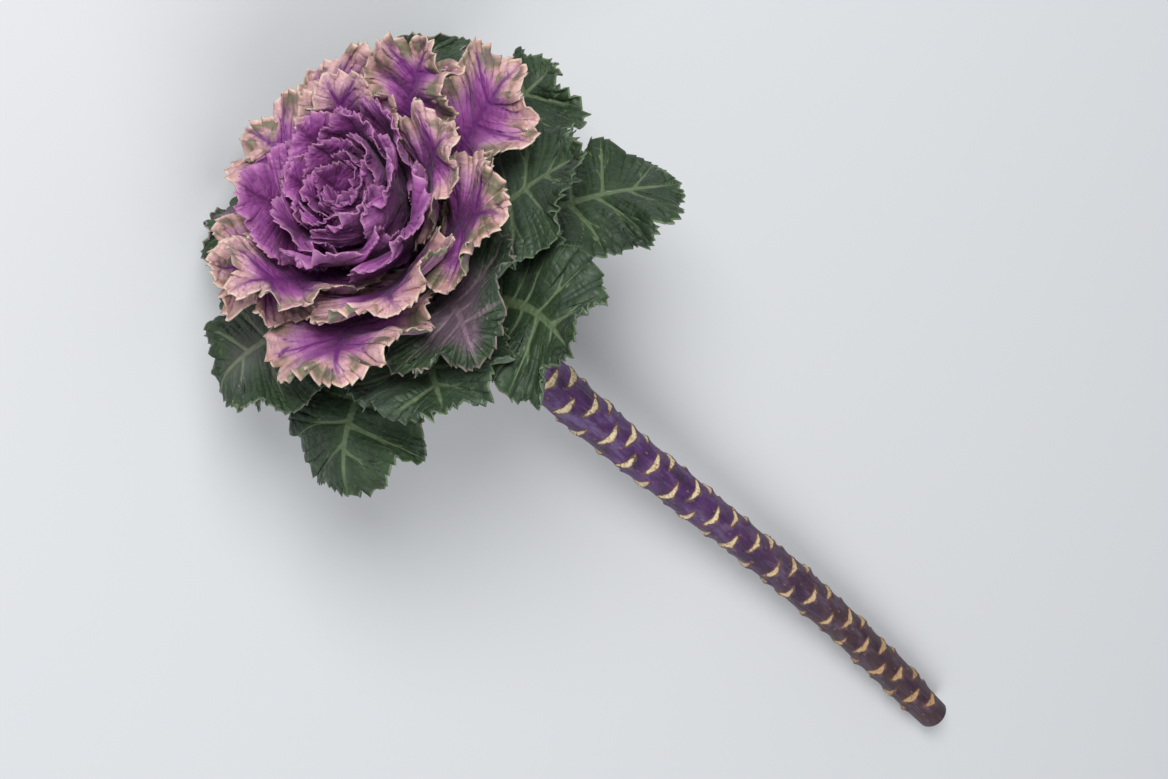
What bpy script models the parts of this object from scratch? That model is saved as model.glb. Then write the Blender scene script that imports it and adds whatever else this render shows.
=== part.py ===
"""One cut stem of ornamental kale, lying on a flat surface at its real size.

Units are metres, +Z is up, and the surface is at Z = 0. The stalk lies along Y, its cut end towards +Y,
and the leafy head looks towards -Y and a little upwards. Values in millimetres are multiplied by MM.

The head is modelled in its own frame first: z along the stalk's axis, rho away from it, and the azimuth
round it, which grows by the golden angle from leaf to leaf. Every leaf is a patch of one nested family of
curves, numbered by "rank", from 0 at the growing tip to LEAF_COUNT - 1 at the lowest green leaf. A ruffle
moves a point to a neighbouring rank's curve and never as far as the next leaf that lies over it, so leaves
crowd without crossing.
"""

import math

import bmesh
import bpy
import numpy as np
from mathutils import Matrix, Vector

MM = 0.001

# Whole plant
STALK_LENGTH = 385 * MM  # from the cut end to the lowest leaf
NECK_RADIUS = 9.5 * MM
CUT_RADIUS = 7.2 * MM
HEAD_TILT = math.radians(20)  # the head looks this far above the horizontal
REST_SLOPE = math.radians(4.16)  # the stalk still falls this much at its cut end
NECK_BEND = 85 * MM  # length over which the neck straightens
HEAD_BASE = Vector((-0.7 * MM, -143.2 * MM, 58.1 * MM))  # the stalk's centre at the lowest leaf
STALK_WAVER = 3 * MM  # the stalk bends this far aside on its way
WAVER_START = 60 * MM  # and is straight near the head, up to here

# Leaves of the head
LEAF_COUNT = 44
GOLDEN_ANGLE = math.radians(137.508)
HEAD_ROLL = math.radians(4.5)
HEART_LEAVES = 20  # the innermost leaves, packed together in one piece with the growing tip
PURPLE_LEAVES = 11  # the next ones, the rest are green
BLADE_THICKNESS = 0.8 * MM
CONTACT_GAP = 0.3 * MM  # between neighbouring pieces
HEART_OVERHANG = 2.5 * MM  # the heart's core starts this far below its lowest leaf
HEART_ROOT_START = -1.2 * MM  # its leaves start inside the core, where they fuse with it
CORE_TIP_RISE = 3 * MM  # of the core over the innermost leaf's root
CORE_TIP_RADIUS = 1.5 * MM
SEED = 41

# How the family of leaves changes from the growing tip (share 0) to the lowest leaf (share 1)
SHARES = (0.0, 0.25, 0.5, 0.75, 1.0)
ROOT_RADIUS = (3.6 * MM, 6.0 * MM, 8.2 * MM, 9.2 * MM, 9.5 * MM)
ROOT_HEIGHT = (52 * MM, 42 * MM, 29 * MM, 15 * MM, 0 * MM)
ROOT_ANGLE = (24, 40, 52, 66, 80)  # degrees from the stalk's axis
MIDDLE_ANGLE = (-12, 8, 32, 62, 92)
TIP_ANGLE = (8, 30, 66, 98, 136)
ANGLE_SPAN = 45 * MM  # the middle angle is read this far along a leaf, the tip angle at twice that
LEAF_LENGTH = (27 * MM, 50 * MM, 68 * MM, 79 * MM, 84 * MM)
LEAF_WIDTH = (24 * MM, 44 * MM, 61 * MM, 68 * MM, 70 * MM)
STALK_SHARE = (0.12, 0.18, 0.24, 0.30, 0.34)  # of the leaf's length
LOBE_DEPTH = (0.7 * MM, 1.5 * MM, 2.3 * MM, 2.1 * MM, 1.4 * MM)
WAVE_HEIGHT = (2.0 * MM, 5.0 * MM, 9.0 * MM, 9.0 * MM, 7.5 * MM)
RANK_FREEDOM = (0.6, 0.8, 0.92, 1.0, 1.0)
STALK_HALF_WIDTH = (2.0 * MM, 2.8 * MM, 3.3 * MM, 3.6 * MM, 3.8 * MM)
STALK_THICKNESS = (1.4 * MM, 2.0 * MM, 2.8 * MM, 3.2 * MM, 3.4 * MM)

# Ranks that a leaf's waves may reach over, by the angle round the stalk from the leaf's own midrib. The
# leaf 2 ranks on is 85 degrees away, the one 3 ranks on is 52.5 away and the one 5 ranks on is 32.5.
FREEDOM_AT = tuple(math.radians(angle) for angle in (10, 26, 43))
MOST_RANK_SHIFT = (1.85, 1.3, 0.78)
WIDEST_WRAP = math.radians(105)
LEAST_WRAP_RADIUS = 3 * MM  # a leaf's foot bends round at least this radius

# A leaf's outline laid flat
OUTLINE_FULLNESS = 0.85  # a power of its sine and cosine: below 1, it is fuller than an ellipse
OUTLINE_TOP_HEAVY = 0.16  # wider towards the tip by this share
OUTLINE_UNEVEN = 0.05
LOBE_FULLNESS = 0.7  # a power again: narrow cuts between wide lobes
HEART_LOBES = 3.5  # on each side of a leaf, each with two rays of the blade's grid
OUTER_LOBES = 6
WAVE_ONSET = 1.5  # a power of the reach: above 1, ruffles gather near the margin

# The surface under the head
CROWDING = 3.4 * MM  # the whole head's soft unevenness
CROWDING_SPAN = 92 * MM
CROWDING_START = (10 * MM, 32 * MM)  # nothing moves this close to the axis, everything does beyond
SQUEEZE_DEPTH = 65 * MM  # a free leaf would reach this far below the stalk
SQUEEZE_END = 0.2  # of its height differences are left there
SWEEP_BACK = 0.45

# Leaf scars on the stalk
SCAR_COUNT = 52  # every second one of a real stalk's
SCAR_SPAN = (0.02, 0.975)  # shares of the stalk's length between which they stand
SCAR_HALF_ANGLE = math.radians(40)
SCAR_RISE = 3.2 * MM
SCAR_HEIGHT = 1.9 * MM
SCAR_PROUD = 1.1 * MM
SCAR_SUNK = 1.0 * MM
SCAR_NARROWING = 0.62  # its ends are smaller by this share
SCAR_EDGES = (0.75, 0.1, -0.65)  # lower root, lip and upper root, in scar heights towards the cut end

# Meshes
RING_REACH = (0.6, 1.0)  # rings of a blade's grid, in shares of the way from its midrib to its margin
HEART_RAYS = 7  # of the grid, on each side of the midrib
OUTER_RAYS = 12
STEM_RINGS = (30, 5)  # along the bare stalk and inside the head
CORE_RINGS = 6
CENTRE_STEPS = 48  # for adding up the stalk's curve

COLOURS = {
    "stem": (0.16, 0.10, 0.17),
    "heart": (0.42, 0.10, 0.42),
    "purple_leaf": (0.52, 0.26, 0.47),
    "green_leaf": (0.08, 0.16, 0.07),
}
ROUGHNESS = {"stem": 0.6, "heart": 0.5, "purple_leaf": 0.5, "green_leaf": 0.55}


def graded(values, share):
    """A value of the leaf family at this share of the way from the growing tip to the lowest leaf."""
    return np.interp(share, SHARES, values)


def leaf_angle(share, along):
    """Angle from the stalk's axis at a distance along a leaf, on a parabola through three angles."""
    step = along / ANGLE_SPAN
    root, middle, tip = (graded(angles, share) for angles in (ROOT_ANGLE, MIDDLE_ANGLE, TIP_ANGLE))
    angle = root * (1 - step) * (2 - step) / 2 + middle * step * (2 - step)
    angle = angle + tip * step * (step - 1) / 2
    return np.radians(angle)


QUADRATURE_AT, QUADRATURE_WEIGHT = np.polynomial.legendre.leggauss(8)


def profile(share, along):
    """(rho, z) of a leaf's middle line in the head's frame, by integrating its angle from the root."""
    inside = np.clip(share, 0, 1)
    outside = share - inside
    rho = graded(ROOT_RADIUS, inside) + outside * 4 * MM
    height = graded(ROOT_HEIGHT, inside) - outside * 50 * MM
    half = along / 2
    for at, weight in zip(QUADRATURE_AT, QUADRATURE_WEIGHT):
        angle = leaf_angle(inside, half * (1 + at)) + outside * 2
        rho = rho + half * weight * np.sin(angle)
        height = height + half * weight * np.cos(angle)
    return rho, height


class Leaf:
    """One leaf's place in the family and its own irregularities."""

    def __init__(self, rank, draw):
        self.rank = rank
        self.share = (rank + draw.uniform(-0.1, 0.1)) / (LEAF_COUNT - 1)
        self.azimuth = rank * GOLDEN_ANGLE + HEAD_ROLL + draw.uniform(-0.07, 0.07)
        self.length = graded(LEAF_LENGTH, self.share) * draw.uniform(0.93, 1.06)
        self.width = graded(LEAF_WIDTH, self.share) * draw.uniform(0.93, 1.08)
        self.stalk = graded(STALK_SHARE, self.share) * self.length
        self.stalk_half_width = graded(STALK_HALF_WIDTH, self.share)
        self.stalk_thickness = graded(STALK_THICKNESS, self.share)
        self.lobe_depth = graded(LOBE_DEPTH, self.share)
        self.lobes = HEART_LOBES if rank < HEART_LEAVES else OUTER_LOBES
        self.wave_height = graded(WAVE_HEIGHT, self.share) * draw.uniform(0.85, 1.15)
        self.wave_counts = draw.uniform(2.2, 3.2, 2)
        self.wave_phases = draw.uniform(0, 2 * math.pi, 2)
        self.skew = draw.uniform(0, 2 * math.pi)
        self.lean = draw.uniform(-0.3, 0.3)  # ranks, one side of the blade higher than the other
        self.droop = draw.uniform(-0.3, 0.3)  # ranks, at the tip
        self.bend = draw.uniform(-0.16, 0.16)  # radians sideways, at the tip


def margin(leaf, turn):
    """The outline laid flat: (x, y) for turn from -1, left foot of the blade, over 0, its tip, to 1."""
    swing = np.pi * np.abs(turn)
    across = np.sin(swing) ** OUTLINE_FULLNESS * (1 + OUTLINE_TOP_HEAVY * np.cos(swing))
    half = leaf.width / 2 - leaf.stalk_half_width
    uneven = 1 + OUTLINE_UNEVEN * np.sin(5 * np.pi * turn + leaf.skew) * np.sin(swing)
    x = turn * leaf.stalk_half_width + np.sign(turn) * half * across * uneven
    lift = np.sign(np.cos(swing)) * np.abs(np.cos(swing)) ** OUTLINE_FULLNESS
    y = leaf.stalk + (leaf.length - leaf.stalk) * (1 + lift * uneven) / 2
    swell = 2 * np.abs(np.cos(np.pi * leaf.lobes * turn)) ** LOBE_FULLNESS - 1
    lobe = leaf.lobe_depth * swell * (1 - np.abs(turn) ** 4)
    return x + lobe * np.sin(np.pi * turn), y + lobe * np.cos(swing)


def ruffle(leaf, reach, turn):
    """How far the blade rises out of its own curve, growing towards the margin."""
    side = (turn > 0).astype(int)
    swell = np.sin(2 * np.pi * leaf.wave_counts[side] * np.abs(turn) + leaf.wave_phases[side])
    settled = np.clip(np.abs(turn) * 6, 0, 1)
    middle = np.sin(leaf.wave_phases.sum())
    wave = settled * swell + (1 - settled) * middle
    return leaf.wave_height * reach**WAVE_ONSET * wave


def head_points(leaf, x, y, rise):
    """Flat leaf coordinates, and a rise out of the leaf, to the head's frame."""
    step = 1 / (LEAF_COUNT - 1)
    rho, height = profile(leaf.share, y)
    rho_in, height_in = profile(leaf.share - step / 2, y)
    rho_out, height_out = profile(leaf.share + step / 2, y)
    spacing = np.hypot(rho_out - rho_in, height_out - height_in)
    wrap = WIDEST_WRAP * np.tanh(x / np.maximum(rho, LEAST_WRAP_RADIUS) / WIDEST_WRAP)
    wrap = wrap + leaf.bend * (y / leaf.length) ** 2
    most = graded(RANK_FREEDOM, leaf.share) * np.interp(np.abs(wrap), FREEDOM_AT, MOST_RANK_SHIFT)
    shift = rise / spacing + leaf.lean * x / (leaf.width / 2) + leaf.droop * (y / leaf.length) ** 2
    shift = most * np.tanh(shift / most)
    azimuth = leaf.azimuth + wrap
    rho, height = profile(leaf.share - shift * step, y)
    return np.column_stack((rho * np.cos(azimuth), rho * np.sin(azimuth), height))


def crowded(points):
    """Head points moved by a soft unevenness that is the same for every leaf, so that none cross."""
    turned = points[:, [1, 2, 0]] * 2 * np.pi / CROWDING_SPAN
    near, far = CROWDING_START
    reach = np.hypot(points[:, 0], points[:, 1])
    felt = np.clip((reach - near) / (far - near), 0, 1)
    return points + CROWDING * felt[:, None] * np.sin(turned + np.array((0.7, 2.1, 4.0)))


def head_to_world():
    """The head's frame in the world: z towards -Y and up, x across."""
    forward = Vector((0, -math.cos(HEAD_TILT), math.sin(HEAD_TILT)))
    across = Vector((1, 0, 0))
    other = forward.cross(across)
    turn = Matrix((across, other, forward)).transposed().to_4x4()
    return Matrix.Translation(HEAD_BASE) @ turn


def laid_down(points):
    """Head points in the world, the underside pressed flat by the surface and swept back along the stalk."""
    placed = np.array(head_to_world())
    points = points @ placed[:3, :3].T + placed[:3, 3]
    depth = np.maximum(HEAD_BASE.z - NECK_RADIUS - points[:, 2], 0)
    stiffening = (1 - SQUEEZE_END) / SQUEEZE_DEPTH**2
    points[:, 2] += stiffening * depth**3 / 3
    points[:, 1] += SWEEP_BACK * math.sqrt(2 * stiffening) * depth**2 / 2
    return points


def blade_faces(rays, rings):
    """Triangles of a blade's grid, and the loop of its rim. Rays run from the midrib to the margin."""
    middle = rays // 2

    def at(ray, ring):
        return abs(ray - middle) if ring == 0 else middle + 1 + ray * rings + ring - 1

    faces = []
    for ray in range(rays):
        for ring in range(rings):
            a, b = at(ray, ring), at(ray + 1, ring)
            c, d = at(ray + 1, ring + 1), at(ray, ring + 1)
            faces += [(a, b, d), (b, c, d)] if ray < middle else [(a, b, c), (a, c, d)]
    rim = [at(ray, rings) for ray in range(rays + 1)]
    rim += [at(rays, ring) for ring in range(rings - 1, 0, -1)]
    rim += [at(0, ring) for ring in range(rings)]
    return faces, rim


def blade_grid(leaf, rays_a_side, stalk_rays=2):
    """Flat grid of one leaf: x, y, reach and turn of each vertex, and its faces and rim."""
    turn_side = np.linspace(0, 1, rays_a_side + 1)
    edge_x, edge_y = margin(leaf, turn_side)
    foot_y = leaf.stalk + (leaf.length - leaf.stalk) * 0.9 * (1 - turn_side) ** 1.6
    stalk_y = np.linspace(leaf.stalk, 0, stalk_rays + 1)[1:]
    edge_x = np.append(edge_x, np.full(stalk_rays, leaf.stalk_half_width))
    edge_y = np.append(edge_y, stalk_y)
    foot_y = np.append(foot_y, stalk_y)
    turn_side = np.append(turn_side, np.ones(stalk_rays))
    last = len(turn_side) - 1

    x, y, reach, turn = [], [], [], []
    for k in range(last + 1):
        x.append(0.0)
        y.append(foot_y[k])
        reach.append(0.0)
        turn.append(0.0)
    for ray in range(2 * last + 1):
        side, k = (-1 if ray < last else 1), abs(ray - last)
        for share in RING_REACH:
            x.append(side * share * edge_x[k])
            y.append((1 - share) * foot_y[k] + share * edge_y[k])
            blade = edge_x[k] > leaf.stalk_half_width * 1.01 or k == 0
            reach.append(share if blade else 0.0)
            turn.append(side * turn_side[k])
    faces, rim = blade_faces(2 * last, len(RING_REACH))
    return np.array(x), np.array(y), np.array(reach), np.array(turn), np.array(faces), rim


def vertex_normals(points, faces):
    """Area-weighted normals of a triangle grid."""
    corners = points[faces]
    across = np.cross(corners[:, 1] - corners[:, 0], corners[:, 2] - corners[:, 0])
    normals = np.zeros_like(points)
    for corner in range(3):
        np.add.at(normals, faces[:, corner], across)
    return normals / np.linalg.norm(normals, axis=1, keepdims=True)


def leaf_mesh(leaf, rays_a_side, root_start):
    """A leaf as one closed blade, alike on both faces, thicker along its stalk and midrib."""
    x, y, reach, turn, faces, rim = blade_grid(leaf, rays_a_side)
    along = root_start + y * (1 - root_start / leaf.length)
    points = laid_down(crowded(head_points(leaf, x, along, ruffle(leaf, reach, turn))))
    normals = vertex_normals(points, faces)
    fleshy = np.clip(1 - y / (1.6 * leaf.stalk), 0, 1)
    fleshy = fleshy * np.clip(1 - np.abs(x) / (1.5 * leaf.stalk_half_width), 0, 1)
    midrib = 0.25 * (x == 0) * np.clip(1 - y / leaf.length, 0, 1)
    thick = BLADE_THICKNESS + (leaf.stalk_thickness - BLADE_THICKNESS) * np.maximum(fleshy, midrib)
    upper = points + normals * thick[:, None] / 2
    lower = points - normals * thick[:, None] / 2
    count = len(points)
    solid = [tuple(face) for face in faces] + [tuple(face[::-1] + count) for face in faces]
    for here, there in zip(rim, rim[1:] + rim[:1]):
        solid += [(there, here, here + count), (there, here + count, there + count)]
    mesh = bpy.data.meshes.new("leaf")
    mesh.from_pydata(np.vstack((upper, lower)).tolist(), [], solid)
    make_outward(mesh)
    return mesh


def make_outward(mesh):
    """Turns a closed mesh's faces outwards."""
    sculpt = bmesh.new()
    sculpt.from_mesh(mesh)
    bmesh.ops.recalc_face_normals(sculpt, faces=sculpt.faces)
    if sculpt.calc_volume(signed=True) < 0:
        bmesh.ops.reverse_faces(sculpt, faces=sculpt.faces)
    sculpt.to_mesh(mesh)
    sculpt.free()


def material_of(slot):
    """The plain material of a slot, made once."""
    made = bpy.data.materials.get(slot)
    if made is None:
        made = bpy.data.materials.new(slot)
        made.use_nodes = True
        shader = made.node_tree.nodes["Principled BSDF"]
        shader.inputs["Base Color"].default_value = (*COLOURS[slot], 1)
        shader.inputs["Roughness"].default_value = ROUGHNESS[slot]
        shader.inputs["Metallic"].default_value = 0
    return made


def add_object(name, mesh, slot, collection):
    """A finished piece of the kale."""
    made = bpy.data.objects.new(name, mesh)
    mesh.materials.clear()
    mesh.materials.append(material_of(slot))
    mesh.shade_smooth()
    mesh.set_sharp_from_angle(angle=math.radians(50))
    collection.objects.link(made)
    return made


def stalk_centre(distance):
    """The stalk's centre line, by the distance from the lowest leaf towards the cut end."""
    at = (np.arange(CENTRE_STEPS) + 0.5) * distance / CENTRE_STEPS
    fall = REST_SLOPE + (HEAD_TILT - REST_SLOPE) * np.exp(-at / NECK_BEND)
    back = np.cos(fall).sum() * distance / CENTRE_STEPS
    drop = np.sin(fall).sum() * distance / CENTRE_STEPS
    waver = STALK_WAVER * math.sin(distance / STALK_LENGTH * 2 * math.pi)
    waver *= min(1, max(distance, 0) / WAVER_START)
    return HEAD_BASE + Vector((waver, back, -drop))


def stalk_radius(distance):
    """Radius at a distance from the lowest leaf, which is negative inside the head."""
    if distance < 0:
        height = -distance
        return float(np.interp(height, ROOT_HEIGHT[::-1], ROOT_RADIUS[::-1]))
    return NECK_RADIUS + (CUT_RADIUS - NECK_RADIUS) * distance / STALK_LENGTH


def stalk_frame(distance):
    """Centre, direction towards the cut end, and two directions across it."""
    centre = stalk_centre(distance)
    ahead = (stalk_centre(distance + MM) - stalk_centre(distance - MM)).normalized()
    side = ahead.cross(Vector((0, 0, 1))).normalized()
    return centre, ahead, side, side.cross(ahead)


def heart_seat():
    """Height in the head's frame where the stalk ends and the heart's own core begins."""
    share = (HEART_LEAVES - 0.5) / (LEAF_COUNT - 1)
    return float(graded(ROOT_HEIGHT, share)) - HEART_OVERHANG


def tube_mesh(name, stations, sides_resolution):
    """A capped tube through (centre, radius) stations, as a mesh with its caps welded on."""
    curve = bpy.data.curves.new(name, "CURVE")
    curve.dimensions = "3D"
    curve.bevel_depth = 1
    curve.bevel_resolution = sides_resolution
    curve.use_fill_caps = True
    spline = curve.splines.new("POLY")
    spline.points.add(len(stations) - 1)
    for point, (centre, radius) in zip(spline.points, stations):
        point.co = (*centre, 1)
        point.radius = radius
    holder = bpy.data.objects.new(name, curve)
    bpy.context.scene.collection.objects.link(holder)
    graph = bpy.context.evaluated_depsgraph_get()
    mesh = bpy.data.meshes.new_from_object(holder.evaluated_get(graph))
    sculpt = bmesh.new()
    sculpt.from_mesh(mesh)
    bmesh.ops.remove_doubles(sculpt, verts=sculpt.verts, dist=0.01 * MM)
    sculpt.to_mesh(mesh)
    sculpt.free()
    bpy.data.objects.remove(holder)
    bpy.data.curves.remove(curve)
    return mesh


def scar_mesh(number):
    """One leaf scar: a pale ledge that dips at its middle, its root sunk into the stalk."""
    first, last = SCAR_SPAN
    distance = STALK_LENGTH * (first + (last - first) * (number + 0.5) / SCAR_COUNT)
    middle = 2 * number * GOLDEN_ANGLE
    verts, faces = [], []
    stations = 5
    for k in range(stations):
        across = 2 * k / (stations - 1) - 1
        angle = middle + across * SCAR_HALF_ANGLE
        here = distance - SCAR_RISE * abs(across) ** 1.3
        centre, ahead, side, up = stalk_frame(here)
        out = side * math.cos(angle) + up * math.sin(angle)
        size = 1 - SCAR_NARROWING * across**2
        for edge, proud in zip(SCAR_EDGES, (-SCAR_SUNK, SCAR_PROUD * size, -SCAR_SUNK)):
            verts.append(centre + out * (stalk_radius(here) + proud) + ahead * SCAR_HEIGHT * edge * size)
    for k in range(stations - 1):
        for edge in range(3):
            a, b = 3 * k + edge, 3 * k + (edge + 1) % 3
            faces.append((a, b, b + 3, a + 3))
    faces += [(2, 1, 0), tuple(3 * (stations - 1) + edge for edge in range(3))]
    mesh = bpy.data.meshes.new("scar")
    mesh.from_pydata(verts, [], faces)
    make_outward(mesh)
    return mesh


def without_hollows(mesh):
    """Keeps a fused mesh's outer skin: closed hollows and loose scraps go."""
    sculpt = bmesh.new()
    sculpt.from_mesh(mesh)
    bmesh.ops.dissolve_degenerate(sculpt, dist=0.01 * MM, edges=sculpt.edges)
    bmesh.ops.triangulate(sculpt, faces=sculpt.faces)
    unseen = set(sculpt.faces)
    shells = []
    while unseen:
        shell, edge_of = set(), [next(iter(unseen))]
        while edge_of:
            face = edge_of.pop()
            if face in shell:
                continue
            shell.add(face)
            edge_of += [other for edge in face.edges for other in edge.link_faces if other not in shell]
        unseen -= shell
        corners = [[vert.co for vert in face.verts] for face in shell]
        shells.append((sum(a.dot(b.cross(c)) for a, b, c in corners), shell))
    shells.sort(key=lambda shell: shell[0])
    for _, shell in shells[:-1]:
        bmesh.ops.delete(sculpt, geom=list(shell), context="FACES")
    sculpt.to_mesh(mesh)
    sculpt.free()


def joined(base, pieces, name):
    """base with the pieces fused to it by one Boolean union. Returns the fused mesh."""
    group = bpy.data.collections.new(name + "_pieces")
    bpy.context.scene.collection.children.link(group)
    for number, mesh in enumerate(pieces):
        group.objects.link(bpy.data.objects.new(f"{name}_piece_{number:02d}", mesh))
    holder = bpy.data.objects.new(name + "_base", base)
    bpy.context.scene.collection.objects.link(holder)
    fuse = holder.modifiers.new("fuse", "BOOLEAN")
    fuse.operation = "UNION"
    fuse.operand_type = "COLLECTION"
    fuse.collection = group
    fuse.solver = "MANIFOLD"
    graph = bpy.context.evaluated_depsgraph_get()
    mesh = bpy.data.meshes.new_from_object(holder.evaluated_get(graph))
    for piece in list(group.objects):
        bpy.data.objects.remove(piece)
    bpy.data.collections.remove(group)
    bpy.data.objects.remove(holder)
    without_hollows(mesh)
    return mesh


def make_stem(collection):
    """The bare stalk, its top inside the head, with its leaf scars."""
    outside, inside = STEM_RINGS
    distances = [*np.linspace(STALK_LENGTH, 0, outside), *(-np.linspace(0, heart_seat(), inside)[1:])]
    stations = []
    for distance in distances:
        radius = stalk_radius(distance)
        if distance < 0:
            centre = head_to_world() @ Vector((0, 0, -distance))
        else:
            centre = stalk_centre(distance)
        stations.append((centre, radius))
    scars = [scar_mesh(number) for number in range(SCAR_COUNT)]
    mesh = joined(tube_mesh("stem", stations, 4), scars, "stem")
    return add_object("stem", mesh, "stem", collection)


def make_heart(leaves, collection):
    """The growing tip's core and the small leaves packed round it, as one piece."""
    seat = heart_seat() + CONTACT_GAP
    stations = []
    for height in np.linspace(seat, ROOT_HEIGHT[0] + CORE_TIP_RISE, CORE_RINGS):
        radius = stalk_radius(-height) if height < ROOT_HEIGHT[0] else CORE_TIP_RADIUS
        stations.append((head_to_world() @ Vector((0, 0, height)), radius))
    blades = [leaf_mesh(leaf, HEART_RAYS, HEART_ROOT_START) for leaf in leaves]
    mesh = joined(tube_mesh("heart", stations, 2), blades, "heart")
    return add_object("heart", mesh, "heart", collection)


def make_kale():
    """Stalk, heart and the leaves round it, each leaf from HEART_LEAVES on as its own piece."""
    collection = bpy.data.collections.new("ornamental_kale")
    bpy.context.scene.collection.children.link(collection)
    draw = np.random.default_rng(SEED)
    leaves = [Leaf(rank, draw) for rank in range(LEAF_COUNT)]
    make_stem(collection)
    make_heart(leaves[:HEART_LEAVES], collection)
    for number, leaf in enumerate(leaves[HEART_LEAVES:], 1):
        purple = number <= PURPLE_LEAVES
        slot = "purple_leaf" if purple else "green_leaf"
        label = number if purple else number - PURPLE_LEAVES
        lean = math.cos(float(leaf_angle(leaf.share, np.float64(0))))
        start = CONTACT_GAP + lean * leaf.stalk_thickness / 2
        mesh = leaf_mesh(leaf, OUTER_RAYS, start)
        add_object(f"{slot}_{label:02d}", mesh, slot, collection)


def clear_scene():
    """Removes whatever the new file came with."""
    for found in list(bpy.data.objects):
        bpy.data.objects.remove(found)


clear_scene()
make_kale()
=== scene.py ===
"""How one cut stem of ornamental kale looks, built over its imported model.

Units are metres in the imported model's own frame: +Z is up, and the stalk lies along Y, its head towards -Y.
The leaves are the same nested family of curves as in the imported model, from the same values and seed, so
each fine piece lies where its node does. Teeth, frills, veins and the stalk's other scars are added here.
Every leaf carries its flat coordinates as attributes for its material.
"""

import math

import bpy
import numpy as np
from mathutils import Matrix, Quaternion, Vector


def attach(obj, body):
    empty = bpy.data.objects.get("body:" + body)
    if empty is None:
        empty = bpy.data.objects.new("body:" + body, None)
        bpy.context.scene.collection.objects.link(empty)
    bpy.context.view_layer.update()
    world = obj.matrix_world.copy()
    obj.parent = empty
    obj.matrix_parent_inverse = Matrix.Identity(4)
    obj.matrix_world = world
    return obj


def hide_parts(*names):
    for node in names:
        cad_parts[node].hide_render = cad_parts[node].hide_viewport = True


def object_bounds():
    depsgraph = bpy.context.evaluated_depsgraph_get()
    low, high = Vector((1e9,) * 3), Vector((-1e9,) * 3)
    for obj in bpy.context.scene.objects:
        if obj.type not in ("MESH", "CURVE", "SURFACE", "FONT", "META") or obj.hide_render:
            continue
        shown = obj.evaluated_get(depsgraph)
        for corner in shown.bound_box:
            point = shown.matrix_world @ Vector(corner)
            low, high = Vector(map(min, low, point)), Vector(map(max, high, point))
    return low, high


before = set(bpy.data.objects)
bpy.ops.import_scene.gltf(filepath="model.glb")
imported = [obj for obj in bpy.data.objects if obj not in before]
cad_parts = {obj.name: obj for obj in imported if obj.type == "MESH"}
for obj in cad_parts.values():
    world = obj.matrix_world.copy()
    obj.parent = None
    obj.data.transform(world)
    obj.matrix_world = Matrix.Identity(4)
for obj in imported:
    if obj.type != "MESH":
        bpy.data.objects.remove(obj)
cad_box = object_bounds()

MM = 0.001


def mm(*lengths):
    return tuple(length * MM for length in lengths)


# Whole plant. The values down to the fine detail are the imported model's
STALK_LENGTH = 385 * MM  # from the cut end to the lowest leaf
NECK_RADIUS = 9.5 * MM
CUT_RADIUS = 7.2 * MM
HEAD_TILT = math.radians(20)  # the head looks this far above the horizontal
REST_SLOPE = math.radians(4.16)  # the stalk still falls this much at its cut end
NECK_BEND = 85 * MM  # length over which the neck straightens
HEAD_BASE = Vector(mm(-0.7, -143.2, 58.1))  # the stalk's centre at the lowest leaf
STALK_WAVER = 3 * MM  # the stalk bends this far aside on its way
WAVER_START = 60 * MM  # and is straight near the head, up to here
CENTRE_STEPS = 48  # for adding up the stalk's curve

# Leaves of the head
LEAF_COUNT = 44
GOLDEN_ANGLE = math.radians(137.508)
HEAD_ROLL = math.radians(4.5)
HEART_LEAVES = 20  # the innermost leaves, packed together in one piece with the growing tip
PURPLE_LEAVES = 11  # the next ones, the rest are green
CONTACT_GAP = 0.3 * MM  # between neighbouring pieces
HEART_OVERHANG = 2.5 * MM  # the heart's core starts this far below its lowest leaf
HEART_ROOT_START = -1.2 * MM  # its leaves start inside the core
CORE_TIP_RISE = 3 * MM  # over the innermost leaf's root
CORE_TIP_RADIUS = 1.5 * MM
SEED = 41

# How the family of leaves changes from the growing tip (share 0) to the lowest leaf (share 1)
SHARES = (0.0, 0.25, 0.5, 0.75, 1.0)
ROOT_RADIUS = mm(3.6, 6.0, 8.2, 9.2, 9.5)
ROOT_HEIGHT = mm(52, 42, 29, 15, 0)
ROOT_ANGLE = (24, 40, 52, 66, 80)  # degrees from the stalk's axis
MIDDLE_ANGLE = (-12, 8, 32, 62, 92)
TIP_ANGLE = (8, 30, 66, 98, 136)
ANGLE_SPAN = 45 * MM  # the middle angle is read this far along a leaf, the tip angle at twice that
LEAF_LENGTH = mm(27, 50, 68, 79, 84)
LEAF_WIDTH = mm(24, 44, 61, 68, 70)
STALK_SHARE = (0.12, 0.18, 0.24, 0.30, 0.34)  # of the leaf's length
LOBE_DEPTH = mm(0.7, 1.5, 2.3, 2.1, 1.4)
WAVE_HEIGHT = mm(2.0, 5.0, 9.0, 9.0, 7.5)
RANK_FREEDOM = (0.6, 0.8, 0.92, 1.0, 1.0)
# Ranks that a leaf's waves may reach over, by the angle from its own midrib
FREEDOM_AT = tuple(math.radians(angle) for angle in (10, 26, 43))
MOST_RANK_SHIFT = (1.85, 1.3, 0.78)
STALK_HALF_WIDTH = mm(2.0, 2.8, 3.3, 3.6, 3.8)
STALK_THICKNESS = mm(1.4, 2.0, 2.8, 3.2, 3.4)
WIDEST_WRAP = math.radians(105)
LEAST_WRAP_RADIUS = 3 * MM  # a leaf's foot bends round at least this radius

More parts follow.
